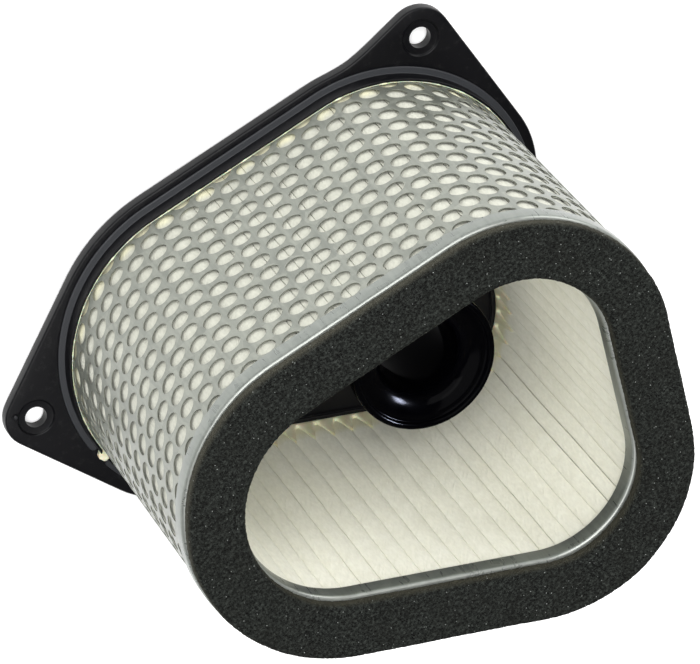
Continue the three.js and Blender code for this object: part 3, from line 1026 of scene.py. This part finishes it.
def perforated_band():
    """Thin sheet with round holes wrapped round the pleats, its two ends lapped."""
    segments = CELL_SEGMENTS
    half_width, half_height = LINE_SPACING / 2, HOLE_PITCH / 2
    border = cell_border(half_width, half_height, segments)
    turn = np.arange(4 * segments) * 2 * math.pi / (4 * segments)
    hole = PERFORATION_RADIUS * unit(turn)
    flat = []
    faces = []

    def add_cell(along, up):
        start = len(flat)
        flat.extend(hole + (along, up))
        flat.extend(border + (along, up))
        count = 4 * segments
        for k in range(count):
            after = (k + 1) % count
            faces.append([start + k, start + count + k, start + count + after, start + after])

    def add_plain(left, width, bottom, height, columns, rows):
        start = len(flat)
        for i in range(columns + 1):
            for j in range(rows + 1):
                flat.append((left + width * i / columns, bottom + height * j / rows))
        faces.extend((np.array(grid_faces(columns + 1, rows + 1, False, False)) + start).tolist())

    lowest_edge = LOWEST_HOLE - half_height
    for line in range(HOLE_LINES):
        along = FIRST_LINE + line * LINE_SPACING
        staggered = line % 2 == 1
        for hole_index in range(HOLES_IN_LINE - staggered):
            add_cell(along, LOWEST_HOLE + (hole_index + staggered / 2) * HOLE_PITCH)
        if staggered:
            highest_edge = lowest_edge + (HOLES_IN_LINE - 0.5) * HOLE_PITCH
            left = along - half_width
            for bottom in (lowest_edge, highest_edge):
                add_plain(left, LINE_SPACING, bottom, half_height, segments, segments // 2)
    seam_start = FIRST_LINE + (HOLE_LINES - 0.5) * LINE_SPACING
    seam_width = perimeter() - HOLE_LINES * LINE_SPACING
    add_plain(seam_start, seam_width, lowest_edge, HOLES_IN_LINE * HOLE_PITCH, SEAM_COLUMNS,
              HOLES_IN_LINE * segments)

    flat = np.array(flat)
    points, normals = walk(flat[:, 0])
    into_seam = (flat[:, 0] - seam_start) / seam_width
    lapped = -LAP_DEPTH * np.clip((1 - into_seam) / LAP_SLOPE, 0, 1)
    lap = np.where(into_seam > LAP_START, lapped, 0)
    vertices = np.column_stack([points + normals * lap[:, None], flat[:, 1]])
    band = new_object("perforated_band", vertices, faces)
    edit(band, lambda bm: bmesh.ops.remove_doubles(bm, verts=bm.verts, dist=1e-6))
    face_outwards(band)
    solidify(band, BAND_SHEET, -1)
    look = galvanised("perforated_steel", (0.225, 0.236, 0.202), (0.135, 0.145, 0.123), 0.33)
    return present(band, "outer_screen", look)


def face_outwards(sheet):
    """Turns an open wall's faces away from the filter's axis."""
    bm = bmesh.new()
    bm.from_mesh(sheet.data)
    bm.faces.ensure_lookup_table()
    face = bm.faces[0]
    away = face.calc_center_median() - Vector((*PLATE_MIDDLE, 0)) * MM
    if face.normal.dot(Vector((away.x, away.y, 0))) < 0:
        bmesh.ops.reverse_faces(bm, faces=bm.faces)
    bm.to_mesh(sheet.data)
    bm.free()


# ---------------------------------------------------------------- end cap and foam

def end_cap():
    """Pressed steel channel: outer flange, flat annulus and rolled inner flange."""
    inner, outer = CAP
    section = rounded([
        (outer, CAP_BOTTOM, 0.25),
        (outer, CAP_TOP, 1.3),
        (inner, CAP_TOP, 1.2),
        (inner, CAP_BOTTOM, 0.25),
        (inner + CAP_SHEET, CAP_BOTTOM, 0.25),
        (inner + CAP_SHEET, CAP_TOP - CAP_SHEET, 0.6),
        (outer - CAP_SHEET, CAP_TOP - CAP_SHEET, 0.7),
        (outer - CAP_SHEET, CAP_BOTTOM, 0.25),
    ])
    cap = swept_ring("channel_cap", section)
    look = galvanised("cap_steel", (0.19, 0.205, 0.185), (0.13, 0.143, 0.13), 0.3, CAP_TOP)
    return present(cap, "end_cap", look, sharp=60)


def backing_tape():
    """Double-sided tape that holds the foam on the cap."""
    section = box_section(TAPE, TAPE_BOTTOM - 0.2, TAPE_TOP + 0.2, 0.15)
    ring = swept_ring("foam_backing_tape", section, 2.0)
    return present(ring, "foam_tape", tape_fabric())


def foam_relief(place):
    """Height of the torn cell surface of the foam at a place in mm, in mm."""
    distances, _ = noise.voronoi(place / FOAM_CELL)
    walls = min(1.0, (distances[1] - distances[0]) * 2.2)
    swell = noise.noise(place / 14)
    return FOAM_GRAIN * noise.noise(place / 0.8) - CELL_WALL_DEPTH * walls + FOAM_SWELL * swell


def foam_ring():
    """Thick foam seal: soft rounded edges and a surface of cut cells."""
    section = rounded([
        (FOAM[0], FOAM_BOTTOM, 0.6),
        (FOAM[1], FOAM_BOTTOM, 0.6),
        (FOAM[1], FOAM_TOP - 0.15, 1.7),
        (FOAM[0], FOAM_TOP - 0.15, 1.7),
    ])
    ring = swept_ring("foam_ring", evenly(section, FOAM_STEP), step=FOAM_STEP)
    face_out(ring)
    displace(ring, foam_relief)
    return present(ring, "foam_seal", charcoal_foam(), sharp=180)


# ---------------------------------------------------------------- studio

CAMERA_AIM = Vector((5.9, 31.0, 60.0)) * MM
CAMERA_DISTANCE = 1.5915
CAMERA_LENS = 282.9              # on a 36 mm sensor
CAMERA_RIGHT = Vector((0.7114, -0.6150, 0.3401))
CAMERA_BACK = Vector((0.0483, 0.5255, 0.8494))
FLOOR_REACH = 3000
SURROUND_STRENGTH = 0.42
SOFTBOXES = [                    # name, place and size in metres, watts
    ("key", (0.3, 1.1, 1.7), (1.7, 1.7), 40),
    ("fill", (-0.45, 0.1, 1.9), (1.6, 1.6), 25),
    ("side", (1.5, 0.25, 0.5), (0.8, 0.8), 11),
]
GLINT = ("glint", (2.1, -0.65, 1.7), (0.5, 0.85), 3800)
GLINT_COLOUR = (0.72, 0.78, 1.0)


def camera():
    """Looks down on the filter's foam end from its long side, rolled about the view."""
    back = CAMERA_BACK.normalized()
    right = (CAMERA_RIGHT - back * CAMERA_RIGHT.dot(back)).normalized()
    up = back.cross(right)
    data = bpy.data.cameras.new("camera")
    data.lens = CAMERA_LENS
    data.sensor_width = 36
    data.clip_start = 0.05
    obj = bpy.data.objects.new("camera", data)
    bpy.context.scene.collection.objects.link(obj)
    obj.matrix_world = Matrix.Translation(CAMERA_AIM + back * CAMERA_DISTANCE) @ Matrix(
        (right, up, back)).transposed().to_4x4()
    bpy.context.scene.camera = obj


def softbox(name, place, size, power, aim=(0, 0, 0.05)):
    """Rectangular light that faces the filter."""
    data = bpy.data.lights.new(name, "AREA")
    data.shape = "RECTANGLE"
    data.size, data.size_y = size
    data.energy = power
    obj = bpy.data.objects.new(name, data)
    bpy.context.scene.collection.objects.link(obj)
    obj.location = place
    obj.rotation_mode = "QUATERNION"
    obj.rotation_quaternion = (Vector(place) - Vector(aim)).to_track_quat("Z", "Y")
    return obj


def studio(funnel_piece):
    """Pale floor, an even white surround, three softboxes, and a light for the funnel alone."""
    sides = (-FLOOR_REACH, FLOOR_REACH)
    corners = np.array([[(x, y, 0.0) for y in sides] for x in sides])
    floor = grid_object("floor", corners, around=False, across=False)
    floor.data.materials.append(studio_floor())
    world = bpy.data.worlds.new("studio")
    world.use_nodes = True
    background = world.node_tree.nodes["Background"]
    background.inputs["Color"].default_value = (1, 1, 1, 1)
    background.inputs["Strength"].default_value = SURROUND_STRENGTH
    world.cycles_visibility.glossy = False
    bpy.context.scene.world = world
    for settings in SOFTBOXES:
        softbox(*settings)
    glint = softbox(*GLINT)
    glint.visible_diffuse = False
    glint.data.color = GLINT_COLOUR
    only_funnel = bpy.data.collections.new("only_funnel")
    only_funnel.objects.link(funnel_piece)
    glint.light_linking.receiver_collection = only_funnel
    glint.light_linking.blocker_collection = only_funnel
    bpy.context.scene.view_settings.view_transform = "Standard"


# ---------------------------------------------------------------- assembly

base_plate()
gasket()
funnel_piece = funnel()
potting()
top_glue()
pleated_paper()
paper_seam()
perforated_band()
end_cap()
backing_tape()
foam_ring()
studio(funnel_piece)
camera()
